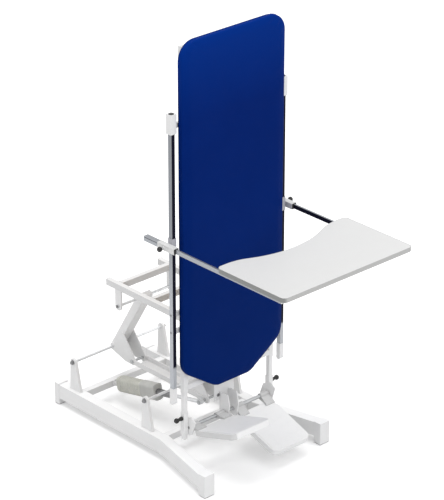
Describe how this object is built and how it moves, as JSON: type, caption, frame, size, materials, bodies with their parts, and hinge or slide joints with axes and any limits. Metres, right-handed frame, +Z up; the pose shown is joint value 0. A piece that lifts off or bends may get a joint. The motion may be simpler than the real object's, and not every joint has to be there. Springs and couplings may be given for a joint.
{
  "type": "physiotherapy tilt table",
  "caption": "Upright physiotherapy tilt table: padded couch on a powered parallel lift, with an arm tray on side rails and a pair of hinged footplates.",
  "frame": {"origin": "on the floor at the centre of the object's bounding box", "axes": "+Z up, the upright couch faces -Y, +X to the right as seen facing +Y"},
  "size_m": [0.949, 1.923, 2.422],
  "materials": {
    "white_paint": "gloss powder coat",
    "grey_rail": "satin",
    "steel": "satin",
    "white_plastic": "matte",
    "dark_steel": "black oxide",
    "rubber": "matte",
    "black_plastic": "gloss",
    "motor_plastic": "matte",
    "gear_plastic": "matte",
    "vinyl": "satin vinyl",
    "plywood": "matte",
    "tray_laminate": "laminate",
    "tray_band": "satin",
    "footplate_board": "satin laminate"
  },
  "bodies": {
    "base": {"base_rails": "white_paint", "base_cross_tubes": "white_paint", "base_feet": "white_paint", "foot_pads": "rubber", "shaft_towers": "white_paint", "link_shafts": "steel", "shaft_nuts": "dark_steel", "lift_clevis": "white_paint"},
    "rear_arm": {"rear_arm_tube": "white_paint", "rear_arm_levers": "white_paint", "rear_lever_pin": "steel"},
    "front_arm": {"front_arm_tube": "white_paint", "front_arm_levers": "white_paint", "front_lever_pin": "steel"},
    "coupler_link": {"coupler": "white_paint"},
    "upper_frame": {"upper_side_tubes": "white_paint", "upper_cross_tubes": "white_paint", "rear_pivot_plates": "white_paint", "front_pivot_plates": "white_paint", "pivot_shafts": "dark_steel", "couch_hinge_brackets": "white_paint", "couch_hinge_pins": "dark_steel", "tilt_clevis": "white_paint"},
    "lift_actuator": {"lift_motor_cover": "motor_plastic", "lift_motor": "steel", "lift_gear_case": "gear_plastic", "lift_outer_tube": "dark_steel", "lift_spindle": "steel"},
    "lift_actuator_rod": {"lift_rod": "steel"},
    "tilt_actuator": {"tilt_motor_case": "motor_plastic", "tilt_outer_tube": "dark_steel"},
    "tilt_actuator_rod": {"tilt_rod": "steel"},
    "couch": {"pad": "vinyl", "pad_board": "plywood", "couch_side_tubes": "white_paint", "couch_cross_tubes": "white_paint", "couch_legs": "white_paint", "leg_plugs": "white_plastic", "couch_hinge_lugs": "white_paint", "side_rails": "grey_rail", "rail_end_sleeves": "white_paint", "rail_brackets": "white_paint"},
    "tray_carriage": {"tray_slides": "white_paint", "guide_tubes": "grey_rail", "sleeve_bushes": "black_plastic"},
    "tray": {"tray_board": "tray_laminate", "tray_edge_band": "tray_band", "tray_bars": "grey_rail", "tray_spacers": "steel"},
    "left_tray_clamp": {"left_tray_knob": "black_plastic"},
    "right_tray_clamp": {"right_tray_knob": "black_plastic"},
    "foot_carriage": {"foot_sleeves": "white_paint", "foot_brackets": "white_paint", "foot_cross_tube": "steel"},
    "left_foot_clamp": {"left_foot_knob": "black_plastic"},
    "right_foot_clamp": {"right_foot_knob": "black_plastic"},
    "left_foot_rest": {"left_footplate": "footplate_board", "left_footplate_hinge": "white_paint"},
    "right_foot_rest": {"right_footplate": "footplate_board", "right_footplate_hinge": "white_paint"}
  },
  "joints": [
    {"name": "lift_hinge", "type": "hinge", "parent": "base", "child": "rear_arm", "pos_m": [0, 0.8265, 0.292], "axis": [-1, 0, 0], "range_deg": [-15, 2]},
    {"name": "front_arm_hinge", "type": "hinge", "parent": "base", "child": "front_arm", "pos_m": [0, 0.2285, 0.292], "axis": [-1, 0, 0], "range_deg": [-15, 2]},
    {"name": "coupler_hinge", "type": "hinge", "parent": "rear_arm", "child": "coupler_link", "pos_m": [0, 0.6585, 0.262], "axis": [-1, 0, 0], "range_deg": [-2, 15]},
    {"name": "upper_frame_hinge", "type": "hinge", "parent": "rear_arm", "child": "upper_frame", "pos_m": [0, 0.5985, 0.672], "axis": [-1, 0, 0], "range_deg": [-2, 15]},
    {"name": "lift_actuator_hinge", "type": "hinge", "parent": "base", "child": "lift_actuator", "pos_m": [-0.08, 0.7405, 0.112], "axis": [1, 0, 0], "range_deg": [-1, 4]},
    {"name": "lift_rod_slide", "type": "slide", "parent": "lift_actuator", "child": "lift_actuator_rod", "axis": [0, -0.9765, 0.2154], "range_m": [-0.025, 0.005]},
    {"name": "tilt_hinge", "type": "hinge", "parent": "upper_frame", "child": "couch", "pos_m": [0, -0.0115, 0.793], "axis": [1, 0, 0], "range_deg": [-90, 0]},
    {"name": "tilt_actuator_hinge", "type": "hinge", "parent": "upper_frame", "child": "tilt_actuator", "pos_m": [0.12, 0.3425, 0.738], "axis": [1, 0, 0], "range_deg": [-14, 1]},
    {"name": "tilt_rod_slide", "type": "slide", "parent": "tilt_actuator", "child": "tilt_actuator_rod", "axis": [0, -0.9999, 0.0145], "range_m": [-0.002, 0.066]},
    {"name": "tray_height", "type": "slide", "parent": "couch", "child": "tray_carriage", "axis": [0, 0, 1], "range_m": [-0.3, 0.45]},
    {"name": "tray_reach", "type": "slide", "parent": "tray_carriage", "child": "tray", "axis": [0, -1, 0], "range_m": [-0.15, 0.1]},
    {"name": "foot_height", "type": "slide", "parent": "couch", "child": "foot_carriage", "axis": [0, 0, 1], "range_m": [-0.02, 0.08]},
    {"name": "left_footplate_hinge", "type": "hinge", "parent": "foot_carriage", "child": "left_foot_rest", "pos_m": [-0.16, -0.0785, 0.24], "axis": [-1, 0, 0], "range_deg": [-48, 12]},
    {"name": "right_footplate_hinge", "type": "hinge", "parent": "foot_carriage", "child": "right_foot_rest", "pos_m": [0.16, -0.0785, 0.24], "axis": [-1, 0, 0], "range_deg": [-11, 49]},
    {"name": "left_tray_knob_turn", "type": "hinge", "parent": "tray_carriage", "child": "left_tray_clamp", "pos_m": [-0.45, -0.0555, 1.324], "axis": [-1, 0, 0], "continuous": true},
    {"name": "left_foot_knob_turn", "type": "hinge", "parent": "foot_carriage", "child": "left_foot_clamp", "pos_m": [-0.34, -0.0645, 0.3], "axis": [-1, 0, 0], "continuous": true},
    {"name": "right_tray_knob_turn", "type": "hinge", "parent": "tray_carriage", "child": "right_tray_clamp", "pos_m": [0.45, -0.0555, 1.324], "axis": [1, 0, 0], "continuous": true},
    {"name": "right_foot_knob_turn", "type": "hinge", "parent": "foot_carriage", "child": "right_foot_clamp", "pos_m": [0.34, -0.0645, 0.3], "axis": [1, 0, 0], "continuous": true}
  ],
  "couplings": [
    {"joint": "front_arm_hinge", "follows": "lift_hinge", "ratio": 1},
    {"joint": "coupler_hinge", "follows": "lift_hinge", "ratio": -1},
    {"joint": "upper_frame_hinge", "follows": "lift_hinge", "ratio": -1},
    {"joint": "lift_actuator_hinge", "follows": "lift_hinge", "ratio": -0.21931},
    {"joint": "lift_rod_slide", "follows": "lift_hinge", "m_per_rad": 0.07896},
    {"joint": "tilt_actuator_hinge", "follows": "tilt_hinge", "ratio": 0.061367},
    {"joint": "tilt_rod_slide", "follows": "tilt_hinge", "m_per_rad": -0.039765}
  ]
}
